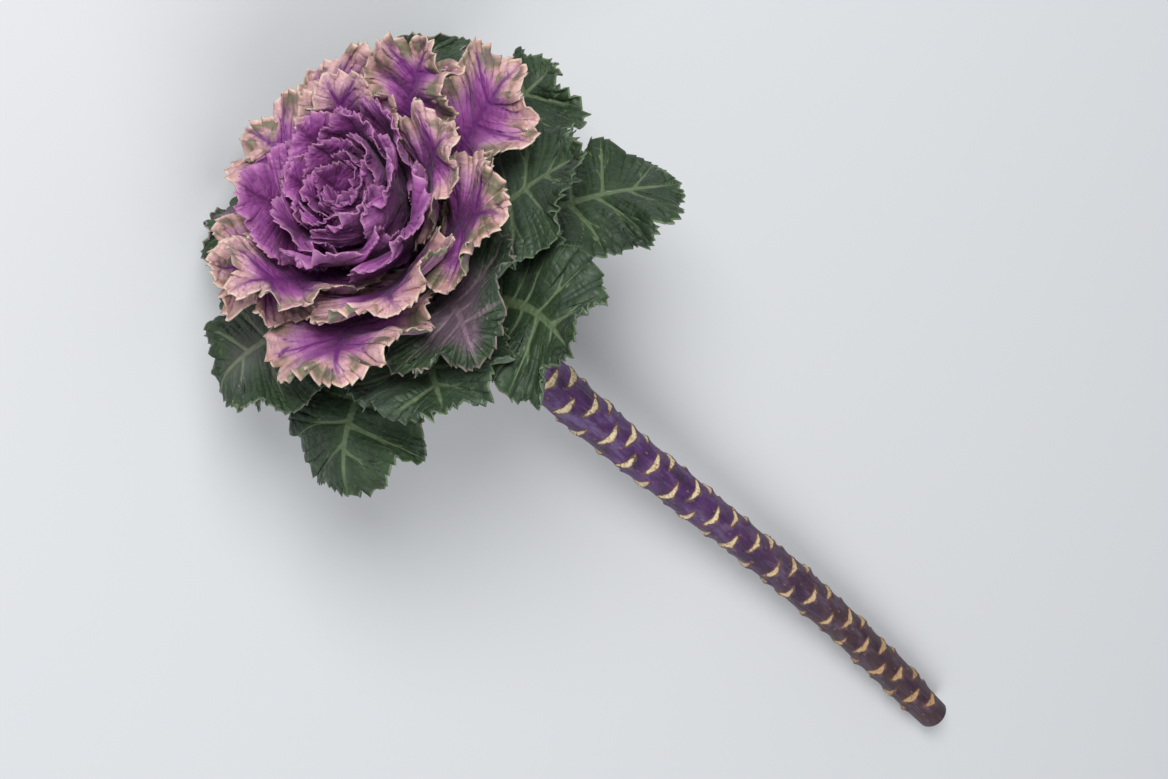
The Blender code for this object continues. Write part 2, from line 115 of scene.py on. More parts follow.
# A leaf's outline laid flat
OUTLINE_FULLNESS = 0.85  # a power: below 1, it is fuller than an ellipse
OUTLINE_TOP_HEAVY = 0.16  # wider towards the tip by this share
OUTLINE_UNEVEN = 0.05
LOBE_FULLNESS = 0.7  # a power again: narrow cuts between wide lobes
HEART_LOBES = 3.5  # on each side of a leaf
OUTER_LOBES = 6
WAVE_ONSET = 1.5  # a power of the reach: above 1, ruffles gather near the margin

# The surface under the head
CROWDING = 3.4 * MM  # the whole head's soft unevenness
CROWDING_SPAN = 92 * MM
CROWDING_START = mm(10, 32)  # nothing moves this close to the axis, everything does beyond
SQUEEZE_DEPTH = 65 * MM  # a free leaf would reach this far below the stalk
SQUEEZE_END = 0.2  # of its height differences are left there
SWEEP_BACK = 0.45

# Fine detail of a blade
BLADE_THICKNESS = 0.62 * MM
RIM_THICKNESS = 0.36 * MM
RIM_TAPER = 5 * MM  # the blade thins towards its margin over this
TOOTH_PITCH = 3.9 * MM
HEART_TOOTH_PITCH = 3.1 * MM
TOOTH_WIDTHS = (0.5, 1.5)  # least and most, of the mean
TOOTH_PROFILE = ((0, 0), (0.13, 0.6), (0.25, 1), (0.4, 0.68), (0.6, 0.34), (0.8, 0.12))  # (place, height)
TOOTH_HEIGHTS = (0.36, 0.92)  # of a tooth's width
TOOTH_LEVEL = 0.65  # this share of a tooth's height lies within the plain margin
TOOTH_LEAN = 0.5  # radians, towards the leaf's tip
TIP_TOOTH = 2.0 * MM
TOOTHLESS_FOOT = 10 * MM
NOTCH_DEPTH = mm(0.4, 1.6, 4.6, 3.6, 1.6)  # the deepest cuts between the lobes
NOTCH_HALF_WIDTH = 0.15  # of a lobe
RING_REACH = (0.04, 0.1, 0.17, 0.25, 0.33, 0.42, 0.51, 0.6, 0.69, 0.78, 0.85, 0.91, 0.96, 1.0)
HEART_RING_REACH = (0.1, 0.27, 0.46, 0.64, 0.8, 0.92, 1.0)
STALK_RAYS = 34
HEART_STALK_RAYS = 5
RAY_CURVE = 1.15  # above 1, veins leave the midrib steeply and bend towards the tip
RAY_FEET = (0.9, 1.3)  # they leave this share of the midrib, gathered at its base by a power
MARGIN_SAMPLES = 1500
STALK_MARGIN = 1.6  # the leaflets' edge is this much longer than the stalk
BLADE_ONSET = 3 * MM  # a narrower leaflet counts only partly as a blade
FAR_FROM_RIM = 30 * MM  # for points that have no margin near
FAR_FROM_VEIN = 12  # half widths of the vein
FRILL_HEIGHT = 3.2 * MM
FRILL_LENGTH = 8.6 * MM
FRILL_SIZES = (0.4, 0.75, 1.15, 1.0, 0.6)  # along the family
FRILL_ONSET = 4  # a power of the reach
CRINKLE = 0.45 * MM
CRINKLE_LENGTHS = mm(19, 14.5, 11)
BULGE = 0.8 * MM  # between the veins
BULGE_ONSET = 5  # half widths of the vein
BULGE_FADE = 3 * MM  # from the margin
MIDRIB_TAPER = 0.86  # the midrib is narrower by this share at the leaf's tip
RIB_WIDTH = 1.2  # of the fleshy part, in shares of the midrib's
RIB_THINNING = 1.6  # a power of the way left to the leaf's tip
RIB_BELOW = 0.6  # share of the midrib's thickness under the leaf
NOISE_STEP = 0.37  # between two leaves' slices of the solid noises

# Small leaflets along a leaf's stalk: (place and half length in shares of the stalk, size)
LEAFLETS = ((0.7, 0.23, 1.0), (0.34, 0.21, 0.85))
LEAFLET_SIZES = (0.75, 1.1)  # least and most, of the sizes above
LEAFLET_FULLNESS = 0.75  # a power: below 1, it is fuller than a parabola
LEAFLET_RAGGED = (0.85, 1.05)  # places of its edge's points
LEAFLET_TOOTH = 0.22  # every second point lies this much further in
LEAFLET_WIDTH = 0.23  # of the leaf's width
LEAFLET_SLANT = 0.3

# Veins: (reach where it leaves the main vein, how far aside it ends in lobes, its share of the main width)
VEIN_BRANCHES = (
    (0.0, 0.0, 1.0), (0.28, 0.34, 0.62), (0.36, -0.32, 0.62), (0.58, 0.15, 0.42), (0.66, -0.14, 0.42)
)
VEIN_HALF_WIDTH = mm(0.62, 0.24)  # at the midrib and at the margin
VEIN_GROOVE = 0.16 * MM
VEIN_RIDGE = 0.34 * MM

# The stalk's surface
SCAR_COUNT = 104
SCAR_SPAN = (0.02, 0.975)  # shares of the stalk's length between which they stand
SCAR_HALF_ANGLE = math.radians(46)
SCAR_RISE = 3.2 * MM
SCAR_HEIGHT = 2.4 * MM
SCAR_PROUD = 1.4 * MM
SCAR_NARROWING = 0.62  # its ends are smaller by this share
SCAR_FOOT, SCAR_LIP = -0.75, 0.1  # where it starts to rise and where it is highest, in scar heights
SCAR_TAIL = 6.5 * MM  # the ledge under a scar fades into the stalk over this
FACE_END = 0.2  # its pale face ends here, in scar heights
FACE_DEPTH = 1.3  # at its middle
FACE_BLUR = 0.6
SKIN_ONSET = 8 * MM  # the skin's relief grows over this from the lowest leaf
LUMPS_ROUND, LUMPS_ALONG = 0.3 * MM, 0.14 * MM
CUT_RINGS = (0.97, 0.9, 0.8, 0.66, 0.5, 0.33, 0.16, 0.03)  # shares of the cut end's radius
CUT_DISH = 0.5 * MM
CUT_UNEVEN = 0.12 * MM
TOP_RINGS = (0.6, 0.05)  # of the stalk's top, which the heart hides
STEM_STEP = 0.62 * MM
STEM_SIDES = 84
CORE_ROWS = 10
CORE_SIDES = 24
CORE_CAP_RADIUS = 0.1 * MM
CORE_FIELDS = {"vein": 6, "rim": 20, "reach": 0.3, "age": 0.1, "mood": 0.5, "under": 0}

# Camera, light and floor, in metres and watts
VIEW_ELEVATION = math.radians(58)
VIEW_ROLL = math.radians(132)
VIEW_DISTANCE = 1.13
AIM_ASIDE = mm(-41, 43)  # from the middle of the box, across and up the picture
LENS = 85
SENSOR_WIDTH = 36
KEY_LIGHT = {"place": (-0.4, -1.25, 1.25), "size": 0.8, "power": 24}
FILL_LIGHT = {"place": (0.9, 0.5, 1.3), "size": 1.2, "power": 11}
ROOM_COLOUR = (0.93, 0.95, 1, 1)
ROOM_STRENGTH = 0.36
FLOOR_HALF = 12


def graded(values, share):
    """A value of the leaf family at this share of the way from the growing tip to the lowest leaf."""
    return np.interp(share, SHARES, values)


def leaf_angle(share, along):
    """A leaf's angle from the stalk's axis, on a parabola through three angles."""
    step = along / ANGLE_SPAN
    root, middle, tip = (graded(angles, share) for angles in (ROOT_ANGLE, MIDDLE_ANGLE, TIP_ANGLE))
    angle = root * (1 - step) * (2 - step) / 2 + middle * step * (2 - step)
    angle = angle + tip * step * (step - 1) / 2
    return np.radians(angle)


QUADRATURE_AT, QUADRATURE_WEIGHT = np.polynomial.legendre.leggauss(8)


def profile(share, along):
    """(rho, z) of a leaf's middle line in the head's frame, by integrating its angle from the root."""
    inside = np.clip(share, 0, 1)
    outside = share - inside
    rho = graded(ROOT_RADIUS, inside) + outside * 4 * MM
    height = graded(ROOT_HEIGHT, inside) - outside * 50 * MM
    half = along / 2
    for at, weight in zip(QUADRATURE_AT, QUADRATURE_WEIGHT):
        angle = leaf_angle(inside, half * (1 + at)) + outside * 2
        rho = rho + half * weight * np.sin(angle)
        height = height + half * weight * np.cos(angle)
    return rho, height


class Leaf:
    """One leaf's place in the family and its own irregularities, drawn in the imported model's order."""

    def __init__(self, rank, draw):
        self.rank = rank
        self.share = (rank + draw.uniform(-0.1, 0.1)) / (LEAF_COUNT - 1)
        self.azimuth = rank * GOLDEN_ANGLE + HEAD_ROLL + draw.uniform(-0.07, 0.07)
        self.length = graded(LEAF_LENGTH, self.share) * draw.uniform(0.93, 1.06)
        self.width = graded(LEAF_WIDTH, self.share) * draw.uniform(0.93, 1.08)
        self.stalk = graded(STALK_SHARE, self.share) * self.length
        self.stalk_half_width = graded(STALK_HALF_WIDTH, self.share)
        self.stalk_thickness = graded(STALK_THICKNESS, self.share)
        self.lobe_depth = graded(LOBE_DEPTH, self.share)
        self.in_heart = rank < HEART_LEAVES
        self.lobes = HEART_LOBES if self.in_heart else OUTER_LOBES
        self.wave_height = graded(WAVE_HEIGHT, self.share) * draw.uniform(0.85, 1.15)
        self.wave_counts = draw.uniform(2.2, 3.2, 2)
        self.wave_phases = draw.uniform(0, 2 * math.pi, 2)
        self.skew = draw.uniform(0, 2 * math.pi)
        self.lean = draw.uniform(-0.3, 0.3)  # ranks, one side of the blade higher than the other
        self.droop = draw.uniform(-0.3, 0.3)  # ranks, at the tip
        self.bend = draw.uniform(-0.16, 0.16)  # radians sideways, at the tip


def margin(leaf, turn):
    """The outline laid flat: (x, y) for turn from -1, left foot of the blade, over 0, its tip, to 1."""
    swing = np.pi * np.abs(turn)
    across = np.sin(swing) ** OUTLINE_FULLNESS * (1 + OUTLINE_TOP_HEAVY * np.cos(swing))
    half = leaf.width / 2 - leaf.stalk_half_width
    uneven = 1 + OUTLINE_UNEVEN * np.sin(5 * np.pi * turn + leaf.skew) * np.sin(swing)
    x = turn * leaf.stalk_half_width + np.sign(turn) * half * across * uneven
    lift = np.sign(np.cos(swing)) * np.abs(np.cos(swing)) ** OUTLINE_FULLNESS
    y = leaf.stalk + (leaf.length - leaf.stalk) * (1 + lift * uneven) / 2
    swell = 2 * np.abs(np.cos(np.pi * leaf.lobes * turn)) ** LOBE_FULLNESS - 1
    lobe = leaf.lobe_depth * swell * (1 - np.abs(turn) ** 4)
    return x + lobe * np.sin(np.pi * turn), y + lobe * np.cos(swing)


def ruffle(leaf, reach, turn):
    """How far the blade rises out of its own curve, growing towards the margin."""
    side = (turn > 0).astype(int)
    swell = np.sin(2 * np.pi * leaf.wave_counts[side] * np.abs(turn) + leaf.wave_phases[side])
    settled = np.clip(np.abs(turn) * 6, 0, 1)
    middle = np.sin(leaf.wave_phases.sum())
    wave = settled * swell + (1 - settled) * middle
    return leaf.wave_height * reach**WAVE_ONSET * wave


def head_points(leaf, x, y, rise):
    """Flat leaf coordinates, and a rise out of the leaf, to the head's frame."""
    step = 1 / (LEAF_COUNT - 1)
    rho, height = profile(leaf.share, y)
    rho_in, height_in = profile(leaf.share - step / 2, y)
    rho_out, height_out = profile(leaf.share + step / 2, y)
    spacing = np.hypot(rho_out - rho_in, height_out - height_in)
    wrap = WIDEST_WRAP * np.tanh(x / np.maximum(rho, LEAST_WRAP_RADIUS) / WIDEST_WRAP)
    wrap = wrap + leaf.bend * (y / leaf.length) ** 2
    most = graded(RANK_FREEDOM, leaf.share) * np.interp(np.abs(wrap), FREEDOM_AT, MOST_RANK_SHIFT)
    shift = rise / spacing + leaf.lean * x / (leaf.width / 2) + leaf.droop * (y / leaf.length) ** 2
    shift = most * np.tanh(shift / most)
    azimuth = leaf.azimuth + wrap
    rho, height = profile(leaf.share - shift * step, y)
    return np.column_stack((rho * np.cos(azimuth), rho * np.sin(azimuth), height))


def crowded(points):
    """Head points moved by a soft unevenness that is the same for every leaf, so that none cross."""
    turned = points[:, [1, 2, 0]] * 2 * np.pi / CROWDING_SPAN
    near, far = CROWDING_START
    reach = np.hypot(points[:, 0], points[:, 1])
    felt = np.clip((reach - near) / (far - near), 0, 1)
    return points + CROWDING * felt[:, None] * np.sin(turned + np.array((0.7, 2.1, 4.0)))


def head_to_world():
    """The head's frame in the world: z towards -Y and up, x across."""
    forward = Vector((0, -math.cos(HEAD_TILT), math.sin(HEAD_TILT)))
    across = Vector((1, 0, 0))
    other = forward.cross(across)
    turn = Matrix((across, other, forward)).transposed().to_4x4()
    return Matrix.Translation(HEAD_BASE) @ turn


def laid_down(points):
    """Head points in the world, the lowest pressed flat by the surface and swept back along the stalk."""
    placed = np.array(head_to_world())
    points = points @ placed[:3, :3].T + placed[:3, 3]
    depth = np.maximum(HEAD_BASE.z - NECK_RADIUS - points[:, 2], 0)
    stiffening = (1 - SQUEEZE_END) / SQUEEZE_DEPTH**2
    points[:, 2] += stiffening * depth**3 / 3
    points[:, 1] += SWEEP_BACK * math.sqrt(2 * stiffening) * depth**2 / 2
    return points


class Skin:
    """A closed surface in the making: points, four-sided faces, and named values for each point."""

    def __init__(self, points, faces, fields):
        self.points = points
        self.faces = faces
        self.fields = fields

    @classmethod
    def of_parts(cls, parts):
        """Several skins as one, each part still closed by itself."""
        starts = np.cumsum([0] + [len(part.points) for part in parts[:-1]])
        points = np.vstack([part.points for part in parts])
        faces = np.vstack([part.faces + start for part, start in zip(parts, starts)])
        fields = {name: np.concatenate([part.fields[name] for part in parts]) for name in parts[0].fields}
        return cls(points, faces, fields)

    def mesh(self, name):
        made = bpy.data.meshes.new(name)
        made.from_pydata(self.points.tolist(), [], self.faces.tolist())
        for field, values in self.fields.items():
            vector = values.ndim == 2
            attribute = made.attributes.new(field, "FLOAT_VECTOR" if vector else "FLOAT", "POINT")
            attribute.data.foreach_set("vector" if vector else "value", values.astype(np.float32).ravel())
        made.shade_smooth()
        return made


class Fan:
    """A leaf laid flat as a fan of rays from its midrib to its toothed margin, each cut by rings."""

    def __init__(self, leaf, draw):
        pitch = HEART_TOOTH_PITCH if leaf.in_heart else TOOTH_PITCH
        rings = np.array(HEART_RING_REACH if leaf.in_heart else RING_REACH)
        self.run = leaf.length + leaf.width * 0.8  # about the length of one side's margin
        self.teeth = round(self.run / pitch)
        left = self.toothed_side(leaf, -1, draw)
        right = self.toothed_side(leaf, 1, draw)
        last = left.shape[1] - 1
        stalk_rays = HEART_STALK_RAYS if leaf.in_heart else STALK_RAYS
        ray_turn, edge_x, edge_y, edge_run = np.hstack((left[:, :0:-1], right))
        mean_turn = (np.abs(left[0]) + right[0]) / 2
        highest, gathering = RAY_FEET
        foot_y = leaf.stalk + (leaf.length - leaf.stalk) * highest * (1 - mean_turn) ** gathering
        foot_y[last + 1 - stalk_rays:] = np.linspace(leaf.stalk, 0, stalk_rays + 1)[1:]
        ray = np.arange(2 * last + 1)
        foot_of_ray = foot_y[np.abs(ray - last)]
        beyond_stalk = np.clip((np.abs(edge_x) - leaf.stalk_half_width) / BLADE_ONSET, 0, 1)
        blade_of_ray = np.where(np.abs(ray_turn) < 0.5, 1, beyond_stalk)
        ray_length = np.hypot(edge_x, edge_y - foot_of_ray)

        def spread(midrib, per_ray):
            """One value for each vertex: the midrib's first, then ring by ring along each ray."""
            return np.concatenate((midrib, per_ray.ravel()))

        nothing = np.zeros(last + 1)
        self.x = spread(nothing, np.outer(edge_x, rings))
        climb = np.outer(edge_y - foot_of_ray, rings**RAY_CURVE)
        self.y = spread(foot_y, foot_of_ray[:, None] + climb)
        self.reach = spread(nothing, np.outer(blade_of_ray, rings))
        self.turn = spread(nothing, np.repeat(ray_turn, len(rings)))
        self.along_margin = spread(nothing, np.repeat(edge_run, len(rings)))
        on_ray = np.outer(ray_length, 1 - rings) + FAR_FROM_RIM * (1 - blade_of_ray[:, None])
        self.rim = spread(np.full(last + 1, FAR_FROM_RIM), on_ray)

        self.vertex = np.empty((2 * last + 1, len(rings) + 1), int)
        self.vertex[:, 0] = np.abs(ray - last)
        self.vertex[:, 1:] = last + 1 + np.arange((2 * last + 1) * len(rings)).reshape(-1, len(rings))

    def toothed_side(self, leaf, side, draw):
        """Rows of turn, x, y and place along the margin, of one side's rays from the tip to the root."""
        turn = np.linspace(0, 1, MARGIN_SAMPLES)
        x, y = margin(leaf, side * turn)
        run = np.append(0, np.cumsum(np.hypot(np.diff(x), np.diff(y))))
        widths = draw.uniform(*TOOTH_WIDTHS, self.teeth)
        widths *= run[-1] / widths.sum()
        heights = widths * draw.uniform(*TOOTH_HEIGHTS, self.teeth)
        heights[0] = TIP_TOOTH
        place, rise = np.transpose(TOOTH_PROFILE)
        rise = np.tile(rise, (self.teeth, 1))
        rise[0] = 1 - place
        at = ((np.cumsum(widths) - widths)[:, None] + widths[:, None] * place).ravel()
        fade = np.clip((run[-1] - at) / TOOTHLESS_FOOT, 0, 1)
        tooth = ((rise - TOOTH_LEVEL) * heights[:, None]).ravel() * fade
        at = np.append(at, run[-1])
        tooth = np.append(tooth, 0)
        ray_turn = np.interp(at, run, turn)
        between_lobes = ray_turn * leaf.lobes - 0.5
        notches = draw.uniform(0.1, 1, math.ceil(leaf.lobes)) * graded(NOTCH_DEPTH, leaf.share)
        nearest = np.clip(np.round(between_lobes), 0, len(notches) - 1).astype(int)
        cut = notches[nearest] * np.exp(-(((between_lobes - nearest) / NOTCH_HALF_WIDTH) ** 2))
        tooth = tooth - cut * np.clip(1.2 - ray_turn, 0, 1)
        x, y = margin(leaf, side * ray_turn)
        aim = np.pi * ray_turn - TOOTH_LEAN * np.clip(ray_turn * 12, 0, 1)
        x = np.abs(x) + tooth * np.sin(aim)
        y = y + tooth * np.cos(aim)
        stalk_x, stalk_y = self.stalk_side(leaf, draw)
        ray_turn = np.append(ray_turn, np.ones(len(stalk_x)))
        at = np.append(at, run[-1] + (leaf.stalk - stalk_y) * STALK_MARGIN)
        return np.array((side * ray_turn, side * np.append(x, stalk_x), np.append(y, stalk_y), side * at))

    def stalk_side(self, leaf, draw):
        """(x, y) down one side of the leaf's stalk, round its leaflets. Leaves of the heart have none."""
        rays = HEART_STALK_RAYS if leaf.in_heart else STALK_RAYS
        place = np.linspace(1, 0, rays + 1)[1:]
        swell = np.zeros(rays)
        if not leaf.in_heart:
            for middle, half, size in LEAFLETS:
                hump = np.clip(1 - ((place - middle) / half) ** 2, 0, 1)
                swell += size * draw.uniform(*LEAFLET_SIZES) * hump**LEAFLET_FULLNESS
            swell *= draw.uniform(*LEAFLET_RAGGED, rays) - LEAFLET_TOOTH * (np.arange(rays) % 2)
        width = swell * LEAFLET_WIDTH * leaf.width
        return leaf.stalk_half_width + width, place * leaf.stalk + LEAFLET_SLANT * width

    def quads(self):
        a, b = self.vertex[:-1, :-1], self.vertex[1:, :-1]
        c, d = self.vertex[1:, 1:], self.vertex[:-1, 1:]
        return np.stack((a, d, c, b), axis=-1).reshape(-1, 4)

    def outline(self):
        """The vertices round the whole grid, in order."""
        return np.concatenate((self.vertex[:, -1], self.vertex[-1, -2:0:-1], self.vertex[0, :-1]))


def midrib_half_width(leaf, y):
    return leaf.stalk_half_width * (1 - MIDRIB_TAPER * np.clip(y / leaf.length, 0, 1))


def vein_gap(leaf, fan):
    """Distance of each vertex from the nearest vein, over that vein's half width."""
    unit = fan.run * (0.25 + 0.75 * fan.reach)  # the width of blade that a whole turn covers here
    nearest = np.abs(fan.x) / midrib_half_width(leaf, fan.y) * 1.15
    wide, narrow = VEIN_HALF_WIDTH
    thin = wide + (narrow - wide) * fan.reach
    for lobe in range(math.ceil(leaf.lobes)):
        for start, aside, size in VEIN_BRANCHES:
            beyond = np.clip((fan.reach - start) / (1 - start), 0, 1)
            place = (lobe + aside * beyond**0.8) / leaf.lobes
            gap = np.abs(np.abs(fan.turn) - place) * unit / (thin * size)
            nearest = np.where(fan.reach > start, np.minimum(nearest, gap), nearest)
    return nearest


def frill(leaf, fan, draw):
    """Small waves behind the margin, of lengths that don't fit one another, so that nothing repeats."""
    phases = draw.uniform(0, 2 * math.pi, 4)
    place = fan.along_margin / FRILL_LENGTH * 2 * math.pi
    swell = 0.6 + 0.4 * np.sin(place / 3.7 + phases[0])
    wave = np.sin(place + 1.3 * np.sin(place / 2.6 + phases[1]) + phases[2])
    wave += 0.4 * np.sin(2.3 * place + phases[3])
    return FRILL_HEIGHT * graded(FRILL_SIZES, leaf.share) * fan.reach**FRILL_ONSET * swell * wave


def crinkle(fan, draw):
    """Low bumps over the whole blade."""
    bumps = np.zeros_like(fan.x)
    for wavelength in CRINKLE_LENGTHS:
        heading = draw.uniform(0, math.pi)
        phase_x, phase_y = draw.uniform(0, 2 * math.pi, 2)
        u = fan.x * math.cos(heading) + fan.y * math.sin(heading)
        v = fan.y * math.cos(heading) - fan.x * math.sin(heading)
        turns = 2 * math.pi / wavelength
        bump = np.sin(u * turns + phase_x) * np.sin(v * turns + phase_y)
        bumps += bump * wavelength / CRINKLE_LENGTHS[0]
    return CRINKLE * bumps


def vertex_normals(points, quads):
    """Area-weighted normals of a grid of four-sided faces."""
    a, b, c, d = (points[quads[:, corner]] for corner in range(4))
    across = np.cross(c - a, d - b)
    normals = np.zeros_like(points)
    for corner in range(4):
        np.add.at(normals, quads[:, corner], across)
    return normals / np.maximum(np.linalg.norm(normals, axis=1, keepdims=True), 1e-12)


def blade_depths(leaf, fan, vein):
    """How far a leaf's upper and lower face lie from its middle surface."""
    rounded = np.sqrt(np.clip(1 - (fan.x / (RIB_WIDTH * midrib_half_width(leaf, fan.y))) ** 2, 0, 1))
    fleshy = rounded * np.clip(1 - fan.y / (1.05 * leaf.length), 0, 1) ** RIB_THINNING
    rib = (leaf.stalk_thickness - BLADE_THICKNESS) * fleshy
    sheet = RIM_THICKNESS + (BLADE_THICKNESS - RIM_THICKNESS) * np.clip(fan.rim / RIM_TAPER, 0, 1)
    on_vein = np.exp(-(vein**2)) * np.clip(fan.reach * 8, 0, 1)
    above = sheet / 2 + (1 - RIB_BELOW) * rib - VEIN_GROOVE * on_vein
    below = sheet / 2 + RIB_BELOW * rib + VEIN_RIDGE * on_vein * relief_of(leaf)
    return above, below


def relief_of(leaf):
    """Lower leaves have the coarser relief."""
    return 0.3 + leaf.share


def leaf_skin(leaf, root_start):
    """One leaf as a closed skin, with what its material needs to know of each point."""
    draw = np.random.default_rng((SEED, leaf.rank))
    fan = Fan(leaf, draw)
    vein = vein_gap(leaf, fan)
    along = root_start + fan.y * (1 - root_start / leaf.length)
    rise = ruffle(leaf, fan.reach, fan.turn) + frill(leaf, fan, draw)
    points = laid_down(crowded(head_points(leaf, fan.x, along, rise)))
    quads = fan.quads()
    normals = vertex_normals(points, quads)
    between = np.clip(vein / BULGE_ONSET, 0, 1) * np.clip(fan.rim / BULGE_FADE, 0, 1)
    swell = BULGE * between * relief_of(leaf) + crinkle(fan, draw) * fan.reach
    points = points + normals * swell[:, None]
    above, below = blade_depths(leaf, fan, vein)

    count = len(points)
    rim = fan.outline()
    after = np.roll(rim, -1)
    walls = np.stack((rim, after, after + count, rim + count), axis=-1)
    faces = np.vstack((quads, quads[:, ::-1] + count, walls[:, ::-1]))
    slice_of_leaf = np.full(count, leaf.rank * NOISE_STEP)
    fields = {
        "flat": np.column_stack((fan.x, fan.y, slice_of_leaf)),
        "fan": np.column_stack((fan.along_margin, fan.reach * leaf.width / 2, slice_of_leaf)),
        "vein": np.minimum(vein, FAR_FROM_VEIN),
        "rim": fan.rim / MM,
        "reach": fan.reach,
        "age": np.full(count, leaf.rank / (LEAF_COUNT - 1)),
        "mood": np.full(count, draw.uniform(0, 1)),
    }
    fields = {name: np.concatenate((values, values)) for name, values in fields.items()}
    fields["under"] = np.repeat((0.0, 1.0), count)
    skin = np.vstack((points + normals * above[:, None], points - normals * below[:, None]))
    return Skin(skin, faces, fields)


def stalk_centre(distance):
    """The stalk's centre line, by the distance from the lowest leaf towards the cut end."""
    at = (np.arange(CENTRE_STEPS) + 0.5) * distance / CENTRE_STEPS
    fall = REST_SLOPE + (HEAD_TILT - REST_SLOPE) * np.exp(-at / NECK_BEND)
    back = np.cos(fall).sum() * distance / CENTRE_STEPS
    drop = np.sin(fall).sum() * distance / CENTRE_STEPS
    waver = STALK_WAVER * math.sin(distance / STALK_LENGTH * 2 * math.pi)
    waver *= min(1, max(distance, 0) / WAVER_START)
    return HEAD_BASE + Vector((waver, back, -drop))


def stalk_radius(distance):
    """Radius at distances from the lowest leaf, which are negative inside the head."""
    inside = np.interp(-distance, ROOT_HEIGHT[::-1], ROOT_RADIUS[::-1])
    outside = NECK_RADIUS + (CUT_RADIUS - NECK_RADIUS) * distance / STALK_LENGTH
    return np.where(distance < 0, inside, outside)


def heart_seat():
    """Height in the head's frame where the stalk ends and the heart's own core begins."""
    share = (HEART_LEAVES - 0.5) / (LEAF_COUNT - 1)
    return float(graded(ROOT_HEIGHT, share)) - HEART_OVERHANG


def scar_fields(distance, angle):
    """(height, mask) of the leaf scars at each point of the stalk. The mask is 1 on a scar's pale face."""
    draw = np.random.default_rng((SEED, SCAR_COUNT))
    height = np.zeros_like(distance)
    face = np.zeros_like(distance)
    first, last = SCAR_SPAN
    for number in range(SCAR_COUNT):
        low = STALK_LENGTH * (first + (last - first) * (number + 0.5) / SCAR_COUNT)
        low += draw.uniform(-0.7, 0.7) * MM
        middle = number * GOLDEN_ANGLE + draw.uniform(-0.1, 0.1)
        turned = (angle - middle + math.pi) % (2 * math.pi) - math.pi
        across = turned / (SCAR_HALF_ANGLE * draw.uniform(0.85, 1.1))
        size = np.where(np.abs(across) < 1, 1 - SCAR_NARROWING * across**2, 0) * draw.uniform(0.8, 1.15)
        vee = SCAR_RISE * draw.uniform(0.9, 1.35) * np.sqrt(across**2 + 0.006)
        past = (distance - low + vee) / SCAR_HEIGHT
        step = np.clip((past - SCAR_FOOT) / (SCAR_LIP - SCAR_FOOT), 0, 1)
        tail = np.clip(1 - (past - SCAR_LIP) * SCAR_HEIGHT / SCAR_TAIL, 0, 1)
        edge = np.clip(4 - 4 * across**2, 0, 1)
        ribs = 0.72 + 0.28 * np.cos(3 * math.pi * across)
        ledge = np.where(past < SCAR_LIP, step**1.5, tail**2 * ribs)
        height = np.maximum(height, SCAR_PROUD * size * edge * ledge)
        depth = FACE_DEPTH * np.clip(1 - np.abs(across) ** 1.4, 0, 1) * draw.uniform(0.8, 1.2)
        shown = np.minimum(FACE_END - past, past + FACE_END + depth) / FACE_BLUR
        face = np.maximum(face, np.clip(shown, 0, 1) * edge)
    return height, face


def stem_lumps(distance, angle):
    round_about = np.sin(2 * angle + 9 * distance / STALK_LENGTH)
    lengthwise = np.sin(distance / (13 * MM)) + np.sin(distance / (7.1 * MM) + 3 * angle)
    return LUMPS_ROUND * round_about + LUMPS_ALONG * lengthwise


def stem_frames(distance):
    """Centres, and the directions aside, up and towards the cut end, with a row for each distance."""
    inside = head_to_world()
    rows = []
    for at in distance:
        if at < 0:
            centre = inside @ Vector((0, 0, -at))
            ahead = -inside.col[2].xyz
        else:
            centre = stalk_centre(at)
            ahead = (stalk_centre(at + MM) - stalk_centre(at - MM)).normalized()
        side = ahead.cross(Vector((0, 0, 1))).normalized()
        rows.append((centre, side, side.cross(ahead), ahead))
    return np.array(rows).transpose(1, 0, 2)[:, :, None]


